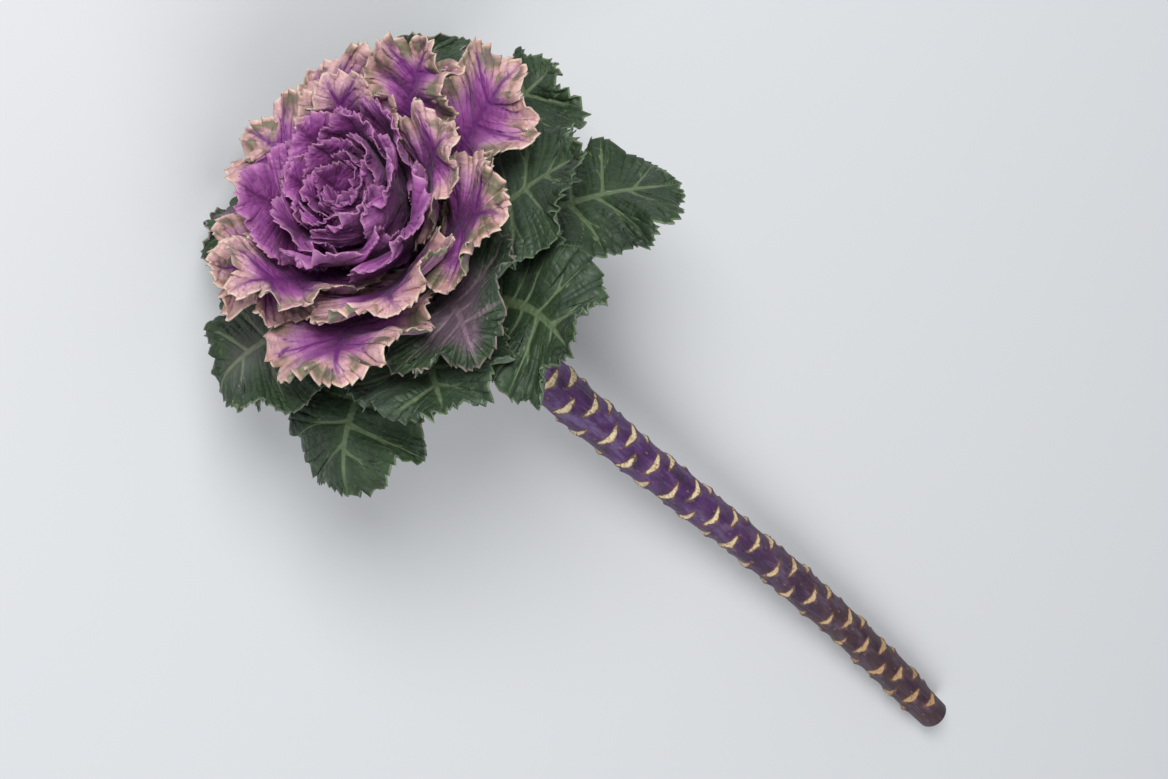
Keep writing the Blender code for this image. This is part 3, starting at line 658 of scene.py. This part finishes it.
def stem_skin():
    """The bare stalk from its cut end to the heart's seat, closed at both ends."""
    distance = np.arange(STALK_LENGTH, -heart_seat(), -STEM_STEP)
    angle = np.arange(STEM_SIDES) * 2 * math.pi / STEM_SIDES
    centres, sides, ups, aheads = stem_frames(distance)
    far, around = np.meshgrid(distance, angle, indexing="ij")
    scar_height, scar_face = scar_fields(far, around)
    free = np.clip(far / SKIN_ONSET, 0, 1)
    radius = stalk_radius(far) + free * (scar_height + stem_lumps(far, around))
    out = sides * np.cos(around)[..., None] + ups * np.sin(around)[..., None]
    points = centres + out * radius[..., None]

    # The cut face: rings towards its centre, slightly dished and uneven
    cut_shares = np.array(CUT_RINGS)
    dished = CUT_DISH * (1 - cut_shares**2)[:, None] + CUT_UNEVEN * np.sin(3 * angle) * cut_shares[:, None]
    rim_out = points[0] - centres[0]
    cut = centres[0] + rim_out * cut_shares[:, None, None] - aheads[0] * dished[..., None]
    top = centres[-1] + (points[-1] - centres[-1]) * np.array(TOP_RINGS)[:, None, None]

    grid = np.vstack((cut[::-1], points, top))
    rows = len(grid)
    number = np.arange(rows * STEM_SIDES).reshape(rows, STEM_SIDES)
    beside = np.roll(number, -1, axis=1)
    faces = np.stack((number[:-1], number[1:], beside[1:], beside[:-1]), axis=-1).reshape(-1, 4)
    caps = [number[0, [0, k, k + 1, k + 2]] for k in range(1, STEM_SIDES - 2, 2)]
    caps += [number[-1, [0, k + 2, k + 1, k]] for k in range(1, STEM_SIDES - 2, 2)]
    faces = np.vstack((faces, caps))

    def rows_of(cut_rows, on_skin, top_rows):
        """One value for each vertex, in the grid's order."""
        cut_rows = np.repeat(np.asarray(cut_rows, float)[:, None], STEM_SIDES, 1)
        top_rows = np.full((len(TOP_RINGS), STEM_SIDES), top_rows)
        return np.vstack((cut_rows, on_skin, top_rows)).ravel()

    nothing = np.zeros(len(cut_shares))
    share = rows_of(cut_shares[::-1], np.ones_like(far), 1)
    turned = np.tile(angle, rows)
    flat_x = share * NECK_RADIUS * np.cos(turned)
    flat_y = share * NECK_RADIUS * np.sin(turned)
    flat_z = rows_of(nothing + STALK_LENGTH, far, -heart_seat())
    fields = {
        "scar": rows_of(nothing, scar_face * free, 0),
        "ledge": rows_of(nothing, scar_height / SCAR_PROUD * free, 0),
        "down_stalk": rows_of(nothing + 1, far / STALK_LENGTH, 0),
        "pith": rows_of(cut_shares[::-1], np.full_like(far, 2), 2),
        "flat": np.column_stack((flat_x, flat_y, flat_z)),
    }
    return Skin(grid.reshape(-1, 3), faces, fields)


def core_skin():
    """The growing tip's core, which the heart's leaves hide."""
    seat = heart_seat() + CONTACT_GAP
    heights = np.linspace(seat, ROOT_HEIGHT[0] + CORE_TIP_RISE, CORE_ROWS)
    radii = np.where(heights < ROOT_HEIGHT[0], stalk_radius(-heights), CORE_TIP_RADIUS)
    heights = np.concatenate(([seat], heights, heights[-1:]))
    radii = np.concatenate(([CORE_CAP_RADIUS], radii, [CORE_CAP_RADIUS]))
    angle = np.arange(CORE_SIDES) * 2 * math.pi / CORE_SIDES
    radii, heights = np.repeat((radii, heights), CORE_SIDES, axis=1)
    turned = np.tile(angle, CORE_ROWS + 2)
    points = np.column_stack((radii * np.cos(turned), radii * np.sin(turned), heights))
    placed = np.array(head_to_world())
    number = np.arange(len(points)).reshape(-1, CORE_SIDES)
    beside = np.roll(number, -1, axis=1)
    faces = np.stack((number[:-1], beside[:-1], beside[1:], number[1:]), axis=-1).reshape(-1, 4)
    fields = {"flat": points, "fan": points}
    fields.update({name: np.full(len(points), float(value)) for name, value in CORE_FIELDS.items()})
    return Skin(points @ placed[:3, :3].T + placed[:3, 3], faces, fields)


class Graph:
    """A new material: adds shader nodes to it, and joins them up as they are made."""

    def __init__(self, name):
        self.material = bpy.data.materials.new(name)
        self.material.use_nodes = True
        self.tree = self.material.node_tree
        self.shader = self.tree.nodes["Principled BSDF"]
        self.base = None  # the colour so far

    def feed(self, socket, value):
        """A socket gets another node's output, or a plain value."""
        if isinstance(value, bpy.types.NodeSocket):
            self.tree.links.new(value, socket)
        else:
            socket.default_value = value

    def surface(self, inputs):
        """Values or outputs for the material's shader."""
        for name, value in inputs.items():
            self.feed(self.shader.inputs[name], value)

    def node(self, kind, inputs, output=0, **settings):
        made = self.tree.nodes.new("ShaderNode" + kind)
        for name, value in settings.items():
            setattr(made, name, value)
        for name, value in inputs.items():
            self.feed(made.inputs[name], value)
        return made.outputs[output]

    def values(self, names):
        """The attributes with these names, as numbers."""
        return [self.node("Attribute", {}, output="Fac", attribute_name=name) for name in names.split()]

    def vectors(self, names):
        return [self.node("Attribute", {}, output="Vector", attribute_name=name) for name in names.split()]

    def maths(self, operation, a, b=0.0):
        return self.node("Math", {0: a, 1: b}, operation=operation)

    def scaled(self, value, factor, offset):
        return self.node("Math", {0: value, 1: factor, 2: offset}, operation="MULTIPLY_ADD")

    def times(self, *factors):
        product = factors[0]
        for factor in factors[1:]:
            product = self.maths("MULTIPLY", product, factor)
        return product

    def eased(self, value, start, end, low=0.0, high=1.0):
        """low before start, high after end, and smooth between them. start may be the larger one."""
        inputs = {"Value": value, "From Min": start, "From Max": end, "To Min": low, "To Max": high}
        return self.node("MapRange", inputs, interpolation_type="SMOOTHSTEP")

    def blend(self, share, first, second):
        """first where share is 0, second where it is 1."""
        return self.node("Mix", {0: share, 6: first, 7: second}, output=2, data_type="RGBA")

    def paint(self, share, layer):
        """Lays a colour over the base where share is 1."""
        self.base = self.blend(share, self.base, layer)

    def gradient(self, value, *stops):
        """A colour by value, through (place, colour) stops."""
        made = self.node("ValToRGB", {0: value})
        ramp = made.node.color_ramp
        ramp.interpolation = "EASE"
        for place, colour in stops[1:-1]:
            ramp.elements.new(place).color = colour
        for end in (0, -1):
            ramp.elements[end].position, ramp.elements[end].color = stops[end]
        return made

    def stretched(self, vector, scale):
        return self.node("VectorMath", {0: vector, 1: scale}, operation="MULTIPLY")

    def noise(self, vector, scale, detail=3.0, roughness=0.55):
        inputs = {"Vector": vector, "Scale": scale, "Detail": detail, "Roughness": roughness}
        return self.node("TexNoise", inputs)

    def cell_edges(self, vector, scale):
        """0 on the edges of an irregular net, rising inside its meshes."""
        inputs = {"Vector": vector, "Scale": scale}
        return self.node("TexVoronoi", inputs, feature="DISTANCE_TO_EDGE")

    def bump(self, height, distance, strength=1.0, under=None):
        inputs = {"Height": height, "Distance": distance, "Strength": strength}
        if under is not None:
            inputs["Normal"] = under
        return self.node("Bump", inputs)


def colour(red, green, blue):
    """An sRGB colour, 0 to 255, as Blender's linear one."""
    channels = []
    for channel in (red, green, blue):
        share = channel / 255
        channels.append(share / 12.92 if share <= 0.04045 else ((share + 0.055) / 1.055) ** 2.4)
    return (*channels, 1)


DEEP_VIOLET = colour(86, 28, 84)
MAGENTA_VIOLET = colour(134, 62, 132)
BRIGHT_MAUVE = colour(178, 104, 168)
MAUVE = colour(164, 94, 158)
PINK_LAVENDER = colour(192, 138, 178)
ROSE = colour(204, 156, 168)
PINK_CREAM = colour(222, 188, 172)
TOOTH_CREAM = colour(230, 206, 184)
VEIN_VIOLET = colour(112, 42, 120)
OCHRE = colour(176, 134, 102)
OLIVE = colour(100, 100, 60)
SAGE = colour(96, 112, 84)
LEAF_GREEN = colour(42, 64, 38)
DEEP_GREEN = colour(26, 42, 27)
FRESH_GREEN = colour(66, 90, 52)
PALE_GREEN = colour(138, 156, 116)
GLAUCOUS = colour(92, 110, 96)
UNDER_GREEN = colour(100, 118, 96)
UNDER_MAUVE = colour(152, 108, 146)
SKIN_VIOLET = colour(78, 36, 98)
SKIN_DARK = colour(40, 20, 50)
SKIN_BLOOM_AND_HIGHLIGHT = colour(128, 112, 154)
SKIN_BROWN = colour(66, 44, 48)
SCAR_CREAM = colour(230, 212, 174)
SCAR_TAN = colour(178, 144, 104)
SCAR_BARK = colour(104, 72, 58)
PITH_CREAM = colour(222, 226, 188)
PITH_GREEN = colour(158, 176, 112)
FLOOR_GREY = colour(212, 214, 216)


def leaf_net(graph, flat):
    """The net of small veins between the main ones: a coarse one and a fine one."""
    wander = graph.noise(flat, 260, detail=2)
    coarse = graph.eased(graph.cell_edges(flat, 240), 0.06, 0.0)
    fine = graph.eased(graph.cell_edges(flat, 560), 0.09, 0.0, 0.0, 0.6)
    return graph.times(graph.maths("MAXIMUM", coarse, fine), graph.eased(wander, 0.3, 0.6, 0.4, 1.0))


def leaf_relief(graph, flat, vein):
    """The fine surface of a blade: a net of small veins, pores, and a soft crinkle."""
    net = graph.cell_edges(flat, 240)
    crinkled = graph.noise(flat, 260, detail=4)
    pores = graph.noise(flat, 2600, detail=2)
    soft = graph.bump(crinkled, 0.6 * MM, 0.6)
    netted = graph.bump(graph.eased(net, 0.0, 0.32), 0.45 * MM, 0.6, under=soft)
    ribbed = graph.bump(graph.eased(vein, 0.4, 1.6), 0.25 * MM, 0.5, under=netted)
    return graph.bump(pores, 0.06 * MM, 0.35, under=ribbed)


def finish_leaf(graph, flat, vein, gloss, waxy):
    """Connects a leaf's colour, relief and soft shine to its shader."""
    graph.surface({
        "Base Color": graph.base,
        "Normal": leaf_relief(graph, flat, vein),
        "Roughness": graph.eased(gloss, 0.3, 0.7, waxy - 0.09, waxy + 0.1),
        "Subsurface Weight": 0.16,
        "Subsurface Radius": (0.9, 0.5, 0.7),
        "Subsurface Scale": 0.8 * MM,
        "Specular IOR Level": 0.42,
        "Sheen Weight": 0.08,
        "Sheen Roughness": 0.4,
    })


def veined(graph, vein, vein_colour, halo_colour, strength):
    """Paints a blade's veins, each with a soft halo."""
    graph.paint(graph.times(graph.eased(vein, 5.0, 0.8), strength, 0.45), halo_colour)
    graph.paint(graph.times(graph.eased(vein, 1.35, 0.7), strength), vein_colour)


def purple_material():
    """The coloured leaves: violet at the base, paler outwards, with a pink-cream margin."""
    graph = Graph("purple_leaf_skin")
    flat, fan = graph.vectors("flat fan")
    vein, rim, reach, age, mood, under = graph.values("vein rim reach age mood under")
    patches = graph.noise(flat, 75, detail=4)
    streaks = graph.noise(graph.stretched(fan, (150, 38, 1)), 1.0)
    fine = graph.noise(flat, 500)

    outward = graph.maths("ADD", reach, graph.scaled(patches, 0.5, -0.25))
    inner = (0.0, DEEP_VIOLET), (0.22, MAGENTA_VIOLET), (0.44, MAUVE)
    graph.base = graph.gradient(outward, *inner, (0.64, PINK_LAVENDER), (0.88, ROSE))
    graph.paint(graph.times(graph.eased(streaks, 0.35, 0.7), 0.22), BRIGHT_MAUVE)
    from_rim = graph.maths("ADD", rim, graph.scaled(streaks, -9.0, 4.5))
    older = graph.eased(age, 0.44, 0.56)
    band = graph.times(graph.eased(from_rim, 16.0, 2.0), graph.eased(age, 0.4, 0.52, 0.55, 1.0))
    graph.paint(band, graph.blend(fine, PINK_CREAM, ROSE))
    blots = graph.noise(graph.stretched(fan, (120, 60, 3)), 1.0, detail=2)
    blots = graph.maths("ADD", blots, graph.times(mood, 0.12))
    dried = graph.times(graph.eased(blots, 0.46, 0.62), graph.eased(rim, 16.0, 5.0), older, 0.55)
    graph.paint(dried, OCHRE)
    blotch = graph.times(
        graph.eased(blots, 0.55, 0.68),
        graph.eased(rim, 14.0, 7.0),
        graph.eased(rim, 0.6, 2.4),
        graph.eased(older, 0.0, 1.0, 0.35, 0.85),
    )
    graph.paint(blotch, graph.blend(patches, OLIVE, SAGE))
    veined(graph, vein, VEIN_VIOLET, MAGENTA_VIOLET, graph.eased(rim, 0.0, 9.0, 0.18, 0.85))
    graph.paint(graph.eased(rim, 1.3, 0.3, 0.0, 0.8), TOOTH_CREAM)
    graph.paint(graph.times(leaf_net(graph, flat), 0.35), VEIN_VIOLET)
    beneath = graph.blend(graph.eased(rim, 9.0, 2.0), UNDER_MAUVE, SAGE)
    beneath = graph.blend(graph.eased(vein, 1.7, 0.6, 0.0, 0.5), beneath, PINK_CREAM)
    graph.paint(graph.times(under, 0.8), beneath)
    finish_leaf(graph, flat, vein, fine, 0.5)
    return graph


def heart_material():
    """The closed middle of the head: saturated violet leaves with slightly paler edges."""
    graph = Graph("heart_skin")
    flat, fan = graph.vectors("flat fan")
    vein, rim, reach, age, under = graph.values("vein rim reach age under")
    patches = graph.noise(flat, 90, detail=4)
    streaks = graph.noise(graph.stretched(fan, (220, 60, 1)), 1.0)
    fine = graph.noise(flat, 600)
    outward = graph.maths("ADD", reach, graph.scaled(patches, 0.4, -0.2))
    graph.base = graph.gradient(outward, (0.0, DEEP_VIOLET), (0.5, MAGENTA_VIOLET), (1.0, MAUVE))
    graph.paint(graph.eased(streaks, 0.4, 0.7, 0.0, 0.4), BRIGHT_MAUVE)
    veined(graph, vein, DEEP_VIOLET, MAGENTA_VIOLET, 0.55)
    edge = graph.times(graph.eased(rim, 3.2, 0.2), graph.eased(age, 0.05, 0.45, 0.35, 0.8))
    graph.paint(edge, graph.blend(fine, BRIGHT_MAUVE, PINK_LAVENDER))
    tips = graph.times(graph.eased(rim, 0.7, 0.1), graph.eased(patches, 0.4, 0.62), 0.5)
    graph.paint(tips, ROSE)
    graph.paint(graph.times(under, 0.35), UNDER_MAUVE)
    finish_leaf(graph, flat, vein, fine, 0.46)
    return graph


def green_material():
    """The outer leaves: dark green with a grey bloom and a pale edge, the inner ones' ribs mauve."""
    graph = Graph("green_leaf_skin")
    flat, fan = graph.vectors("flat fan")
    vein, rim, reach, age, mood, under = graph.values("vein rim reach age mood under")
    patches = graph.noise(flat, 60, detail=5)
    streaks = graph.noise(graph.stretched(fan, (120, 40, 1)), 1.0)
    fine = graph.noise(flat, 500)
    graph.base = graph.blend(graph.eased(patches, 0.3, 0.7), DEEP_GREEN, LEAF_GREEN)
    graph.paint(graph.eased(streaks, 0.45, 0.75, 0.0, 0.45), FRESH_GREEN)
    bloom = graph.times(graph.eased(graph.noise(flat, 34, detail=5), 0.45, 0.75), 0.4)
    graph.paint(bloom, GLAUCOUS)
    young = graph.eased(age, 0.82, 0.7)
    blush = graph.times(young, graph.eased(graph.maths("ADD", reach, graph.times(patches, 0.5)), 1.0, 0.35))
    graph.paint(graph.times(blush, 0.75), UNDER_MAUVE)
    rib_colour = graph.blend(young, PALE_GREEN, PINK_LAVENDER)
    veined(graph, vein, rib_colour, FRESH_GREEN, graph.eased(rim, 0.0, 12.0, 0.15, 0.42))
    graph.paint(graph.times(leaf_net(graph, flat), 0.4), FRESH_GREEN)
    uneven = graph.eased(patches, 0.35, 0.65, 0.25, 1.0)
    edge = graph.times(graph.eased(rim, 0.9, 0.1), graph.eased(mood, 0.0, 1.0, 0.5, 0.8), uneven)
    graph.paint(edge, graph.blend(young, PALE_GREEN, ROSE))
    beneath = graph.blend(patches, UNDER_GREEN, GLAUCOUS)
    beneath = graph.blend(graph.eased(vein, 1.9, 0.6, 0.0, 0.7), beneath, PALE_GREEN)
    graph.paint(graph.times(under, 0.85), beneath)
    finish_leaf(graph, flat, vein, fine, 0.56)
    return graph


def stem_material():
    """The stalk: violet skin, bloomed near the head and browner towards the cut, with a painted highlight on
    the raised ledges under the scars, and cream scars.
    """
    graph = Graph("stalk_skin")
    (flat,) = graph.vectors("flat")
    scar, ledge, down, pith = graph.values("scar ledge down_stalk pith")
    patches = graph.noise(graph.stretched(flat, (1, 1, 0.4)), 190, detail=5)
    fibres = graph.noise(graph.stretched(flat, (1, 1, 0.07)), 900, detail=5, roughness=0.65)
    wrinkles = graph.noise(graph.stretched(flat, (0.3, 0.3, 1)), 800)
    fine = graph.noise(flat, 1400)
    ageing = graph.maths("ADD", down, graph.times(patches, 0.4))
    graph.base = graph.gradient(ageing, (0.1, SKIN_VIOLET), (0.6, SKIN_VIOLET), (1.15, SKIN_BROWN))
    graph.paint(graph.eased(patches, 0.52, 0.34, 0.0, 0.75), SKIN_DARK)
    bloom = graph.times(graph.eased(patches, 0.5, 0.68), graph.eased(down, 0.9, 0.0, 0.2, 0.75))
    graph.paint(bloom, SKIN_BLOOM_AND_HIGHLIGHT)
    graph.paint(graph.eased(fibres, 0.5, 0.72, 0.0, 0.6), SKIN_BROWN)
    graph.paint(graph.eased(fibres, 0.46, 0.3, 0.0, 0.3), SKIN_BLOOM_AND_HIGHLIGHT)
    # Painted highlight: the pale bloom colour is laid on wherever the ledges under the scars stand proud
    graph.paint(graph.eased(ledge, 0.3, 0.95, 0.0, 0.35), SKIN_BLOOM_AND_HIGHLIGHT)
    pores = graph.node("TexVoronoi", {"Vector": graph.stretched(flat, (1, 1, 0.45)), "Scale": 330})
    pores = graph.times(graph.eased(pores, 0.2, 0.12), graph.eased(fine, 0.4, 0.6), 0.5)
    graph.paint(pores, SCAR_TAN)
    crust = graph.eased(graph.maths("ADD", scar, graph.times(fine, 0.3)), 0.12, 0.4)
    graph.paint(graph.times(crust, 0.85), SCAR_BARK)

    scar_colour = graph.blend(graph.eased(ageing, 0.5, 1.2), SCAR_CREAM, SCAR_TAN)
    mottled = graph.noise(flat, 520, detail=4)
    scar_colour = graph.blend(graph.eased(mottled, 0.46, 0.68, 0.0, 0.75), scar_colour, SCAR_TAN)
    dots = graph.eased(graph.node("TexVoronoi", {"Vector": flat, "Scale": 620}), 0.34, 0.2)
    scar_colour = graph.blend(graph.times(dots, 0.6), scar_colour, SKIN_BROWN)
    ragged = graph.maths("ADD", scar, graph.times(graph.maths("SUBTRACT", mottled, 0.5), 1.3))
    scar_colour = graph.blend(graph.eased(ragged, 0.85, 0.5, 0.0, 0.5), scar_colour, SCAR_BARK)
    face = graph.eased(ragged, 0.4, 0.56)
    graph.paint(face, scar_colour)
    ring = (0.55, PITH_CREAM), (0.72, PITH_GREEN), (0.86, PITH_CREAM)
    cut = graph.gradient(pith, (0.0, PITH_CREAM), *ring, (1.0, PITH_GREEN))
    cut = graph.blend(graph.eased(fine, 0.45, 0.7, 0.0, 0.3), cut, SCAR_TAN)
    graph.paint(graph.eased(pith, 1.1, 0.97), cut)

    dents = graph.bump(graph.noise(graph.stretched(flat, (1, 1, 0.45)), 260, detail=4), 1.2 * MM, 0.7)
    lines = graph.bump(fibres, 0.5 * MM, 0.8, under=dents)
    creased = graph.bump(wrinkles, 0.35 * MM, 0.6, under=lines)
    dished = graph.bump(graph.eased(ragged, 0.7, 0.3), 0.5 * MM, 0.8, under=creased)
    waxy = graph.eased(patches, 0.35, 0.65, 0.38, 0.6)
    graph.surface({
        "Base Color": graph.base,
        "Normal": graph.bump(fine, 0.15 * MM, 0.6, under=dished),
        "Roughness": graph.maths("MAXIMUM", waxy, graph.times(face, 0.82)),
        "Specular IOR Level": 0.4,
    })
    return graph


def add_object(name, data):
    made = bpy.data.objects.new(name, data)
    bpy.context.scene.collection.objects.link(made)
    return made


def add_piece(name, skin, node, graph):
    """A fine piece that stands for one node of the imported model."""
    mesh = skin.mesh(name)
    mesh.materials.append(graph.material)
    made = add_object(name, mesh)
    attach(made, "root")
    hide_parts(node)


def make_kale():
    draw = np.random.default_rng(SEED)
    leaves = [Leaf(rank, draw) for rank in range(LEAF_COUNT)]
    add_piece("fine_stem", stem_skin(), "stem", stem_material())
    heart = [leaf_skin(leaf, HEART_ROOT_START) for leaf in leaves[:HEART_LEAVES]]
    add_piece("fine_heart", Skin.of_parts([*heart, core_skin()]), "heart", heart_material())
    skins = {"purple_leaf": purple_material(), "green_leaf": green_material()}
    for number, leaf in enumerate(leaves[HEART_LEAVES:], 1):
        purple = number <= PURPLE_LEAVES
        slot = "purple_leaf" if purple else "green_leaf"
        node = f"{slot}_{number if purple else number - PURPLE_LEAVES:02d}"
        lean = math.cos(float(leaf_angle(leaf.share, np.float64(0))))
        start = CONTACT_GAP + lean * leaf.stalk_thickness / 2
        add_piece("fine_" + node, leaf_skin(leaf, start), node, skins[slot])


def make_floor():
    signs = ((-1, -1), (1, -1), (1, 1), (-1, 1))
    corners = [(x * FLOOR_HALF, y * FLOOR_HALF, 0) for x, y in signs]
    mesh = bpy.data.meshes.new("floor")
    mesh.from_pydata(corners, [], [(0, 1, 2, 3)])
    floor = add_object("floor", mesh)
    paper = Graph("pale_floor")
    paper.surface({"Base Color": FLOOR_GREY, "Roughness": 0.8})
    mesh.materials.append(paper.material)


def add_area_light(name, aim, place, size, power):
    light = bpy.data.lights.new(name, "AREA")
    light.shape = "DISK"
    light.size = size
    light.energy = power
    holder = add_object(name, light)
    holder.location = place
    holder.rotation_mode = "QUATERNION"
    holder.rotation_quaternion = (aim - Vector(place)).to_track_quat("-Z", "Y")


def make_light():
    """A broad key light from the head's side, a weaker fill, and a pale room."""
    add_area_light("key", HEAD_BASE, **KEY_LIGHT)
    add_area_light("fill", HEAD_BASE, **FILL_LIGHT)
    world = bpy.data.worlds.new("room")
    world.use_nodes = True
    background = world.node_tree.nodes["Background"]
    background.inputs["Color"].default_value = ROOM_COLOUR
    background.inputs["Strength"].default_value = ROOM_STRENGTH
    bpy.context.scene.world = world
    bpy.context.scene.view_settings.view_transform = "Standard"


def make_camera():
    """Looks down into the head from its side, the stalk running to the lower right."""
    low, high = cad_box
    away = Vector((0, -math.cos(VIEW_ELEVATION), math.sin(VIEW_ELEVATION)))
    facing = (-away).to_track_quat("-Z", "Y") @ Quaternion((0, 0, 1), VIEW_ROLL)
    target = (low + high) / 2 + facing @ Vector((*AIM_ASIDE, 0))
    data = bpy.data.cameras.new("camera")
    data.lens = LENS
    data.sensor_width = SENSOR_WIDTH
    camera = add_object("camera", data)
    camera.location = target + away * VIEW_DISTANCE
    camera.rotation_mode = "QUATERNION"
    camera.rotation_quaternion = facing
    bpy.context.scene.camera = camera


make_kale()
make_floor()
make_light()
make_camera()
